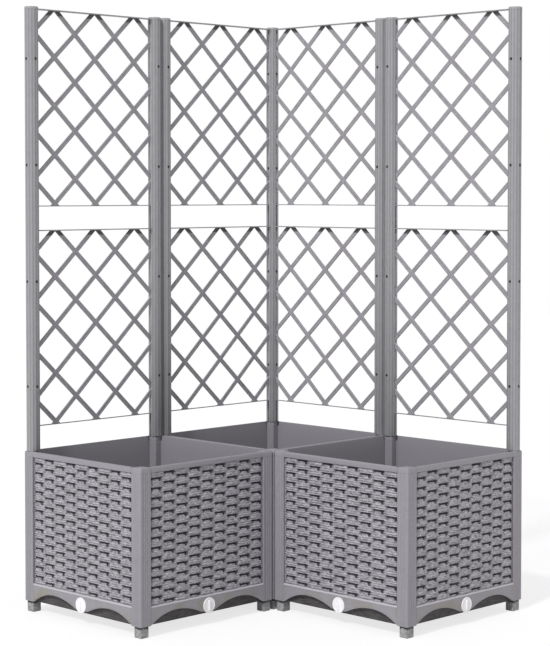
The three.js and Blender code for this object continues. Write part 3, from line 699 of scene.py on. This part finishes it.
def strip_skin(slope, crossing, bottom):
    """One strip: its section at both ends of the slanting line through a crossing, slid along
    the line until it lies on the level or upright plane that ends it. None if the line misses
    the panel."""
    rise = HALF_DIAMOND[1] / HALF_DIAMOND[0] * slope
    level = bottom + FIRST_CROSSING
    reach = sorted(crossing + (limit - level) / rise
                   for limit in (bottom, bottom + LATTICE_HEIGHT))
    start, stop = max(reach[0], -STRIP_END), min(reach[1], STRIP_END)
    if stop - start < 4:
        return None
    direction = np.array([1, rise]) / math.hypot(1, rise)
    across = np.array([-direction[1], direction[0]])
    section = strip_section(4.0 if slope < 0 else 3.4)
    rings = []
    for end in (start, stop):
        middle = np.array([end, level + rise * (end - crossing)])
        flat = middle + section[:, :1] * across
        if abs(abs(end) - STRIP_END) < 1e-6:
            slide = (end - flat[:, 0]) / direction[0]
        else:
            slide = (middle[1] - flat[:, 1]) / direction[1]
        flat = flat + slide[:, None] * direction
        rings.append(np.column_stack([flat[:, 0], section[:, 1], flat[:, 1]]))
    return lofted(np.array(rings))


def bar_skin(low, high, edge=0.5):
    """A bar with rounded long edges: an eight-sided section carried from end to end along its
    longest side."""
    low, high = np.array(low, float), np.array(high, float)
    path = int(np.argmax(high - low))
    first, second = [axis for axis in range(3) if axis != path]
    a0, a1, b0, b1 = low[first], high[first], low[second], high[second]
    section = [(a0 + edge, b0), (a1 - edge, b0), (a1, b0 + edge), (a1, b1 - edge),
               (a1 - edge, b1), (a0 + edge, b1), (a0, b1 - edge), (a0, b0 + edge)]
    rings = np.zeros((2, 8, 3))
    rings[:, :, first], rings[:, :, second] = np.array(section).T
    rings[0, :, path], rings[1, :, path] = low[path], high[path]
    return lofted(rings)


def lattice_skin(bottom):
    """All strips, the level flange at the top, and the thin bars on all four sides."""
    skins = [strip_skin(slope, 2 * HALF_DIAMOND[0] * column, bottom)
             for slope in (1, -1) for column in range(-6, 7)]
    skins = [skin for skin in skins if skin is not None]
    top = bottom + LATTICE_HEIGHT
    skins.append(bar_skin((-175, -8, top - 1.2), (175, 8, top + 1.2)))
    for level in (bottom, top):
        skins.append(bar_skin((-LATTICE_END, -2, level - 1.15), (LATTICE_END, 2, level + 1.15)))
    for side in (-1, 1):
        ends = sorted((side * 176.8, side * LATTICE_END))
        skins.append(bar_skin((ends[0], -2, bottom - 1.2), (ends[1], 2, top + 1.2)))
    return joined(*skins)


BAYS = {
    "left_outer": ((-WALL_LINE, -BOX_LINE), 1), "left_inner": ((-WALL_LINE, BOX_LINE), 1),
    "right_inner": ((-BOX_LINE, WALL_LINE), 0), "right_outer": ((BOX_LINE, WALL_LINE), 0),
}
for level, bottom in LATTICE_BOTTOMS.items():
    lattice_points, lattice_loops = lattice_skin(bottom)
    for bay, (centre, quarters) in BAYS.items():
        name = f"lattice_{level}_{bay}"
        placed = turned(lattice_points, quarters, centre)
        piece(name + "_strips", (placed, lattice_loops), trellis_plastic, "planter",
              [name])


# ---------------------------------------------------------------------------------------------
# Screws. Blackened countersunk screws that fix the side bars of the lattice in the posts, two
# heights to each lattice panel. They stand on the sides of the post that face into the L and
# on the open side of each end post.
# ---------------------------------------------------------------------------------------------

screw_black = moulded_plastic("screw_black", (0.02, 0.02, 0.022), 0.4, 0.1, 0.1)
SCREW_HEIGHTS = (532.0, 778.5, 1050.8, 1298.6)


def screw_skin():
    """A profile of radius and height turned about the screw: a shallow dome with a sunk
    middle, seated on the flutes of the post, 15.6 mm from its middle."""
    profile = np.array([(0.01, -1.5), (3.0, -1.5), (3.3, 0.2), (2.9, 0.55), (1.7, 0.6),
                        (1.2, -0.2), (0.01, -0.3)])
    return spun(profile + (0, 15.6), 16)


screw_points, screw_loops = screw_skin()
for name, (x, y, slots) in POSTS.items():
    facing = (1,) if x == -WALL_LINE else (0,)
    if name in ("post_left_end", "post_corner_back", "post_right_end"):
        facing = (0, 1)
    skins = []
    for quarters in facing:
        for height in SCREW_HEIGHTS:
            skins.append((turned(screw_points, quarters, (x, y)) + (0, 0, height), screw_loops))
    piece(name + "_screws", joined(*skins), screw_black, "planter")


# ---------------------------------------------------------------------------------------------
# Studio. A plain white floor and surround, soft light from all round, a sun-like lamp 45 degrees
# high from the left of the camera, and the camera.
# ---------------------------------------------------------------------------------------------

def white_floor():
    """White floor that keeps the shadow of the planter. To the camera it is a darker paint
    that glows a little, so that its lit parts come out as white as the surround."""
    material = bpy.data.materials.new("white_floor")
    material.use_nodes = True
    tree = material.node_tree
    shader = tree.nodes["Principled BSDF"]
    shader.inputs["Roughness"].default_value = 0.9
    shader.inputs["Specular IOR Level"].default_value = 0.0
    shader.inputs["Emission Color"].default_value = (1, 1, 1, 1)
    to_camera = tree.nodes.new("ShaderNodeLightPath").outputs["Is Camera Ray"]
    paint = tree.nodes.new("ShaderNodeMix")
    paint.data_type = "RGBA"
    paint.inputs["A"].default_value = (0.92, 0.92, 0.92, 1)
    paint.inputs["B"].default_value = (0.28, 0.28, 0.28, 1)
    tree.links.new(to_camera, paint.inputs["Factor"])
    tree.links.new(paint.outputs["Result"], shader.inputs["Base Color"])
    tree.links.new(computed(tree, "MULTIPLY", to_camera, 0.76),
                   shader.inputs["Emission Strength"])
    return material


floor_mesh = bpy.data.meshes.new("floor")
floor_mesh.from_pydata([(-9, -9, 0), (9, -9, 0), (9, 9, 0), (-9, 9, 0)], [], [(0, 1, 2, 3)])
floor_mesh.materials.append(white_floor())
floor = bpy.data.objects.new("floor", floor_mesh)
bpy.context.scene.collection.objects.link(floor)

world = bpy.data.worlds.new("white_surround")
bpy.context.scene.world = world
world.use_nodes = True
sky_tree = world.node_tree
sky = sky_tree.nodes["Background"]
sky.inputs["Color"].default_value = (1, 1, 1, 1)
path = sky_tree.nodes.new("ShaderNodeLightPath").outputs
seen = computed(sky_tree, "MAXIMUM", path["Is Camera Ray"], path["Is Transmission Ray"])
sky_tree.links.new(ramped(sky_tree, seen, 0.0, 1.0, low=0.5), sky.inputs["Strength"])

key_data = bpy.data.lights.new("key", "SUN")
key_data.energy = 1.85
key_data.angle = math.radians(6)
key = bpy.data.objects.new("key", key_data)
bpy.context.scene.collection.objects.link(key)
to_key = np.array([0.21, -0.97, 1.0])
key.rotation_euler = (
    math.acos(to_key[2] / np.linalg.norm(to_key)), 0,
    math.atan2(to_key[1], to_key[0]) + math.pi / 2,
)

camera_data = bpy.data.cameras.new("camera")
camera_data.lens = 104.48
camera_data.shift_y = -0.0851
camera_data.clip_end = 60
camera = bpy.data.objects.new("camera", camera_data)
camera.location = (3.0928, -3.1237, 0.9865)
camera.rotation_euler = (math.radians(90 - 2.302), 0, math.radians(45 - 0.331))
bpy.context.scene.collection.objects.link(camera)
bpy.context.scene.camera = camera
bpy.context.scene.view_settings.view_transform = "Standard"
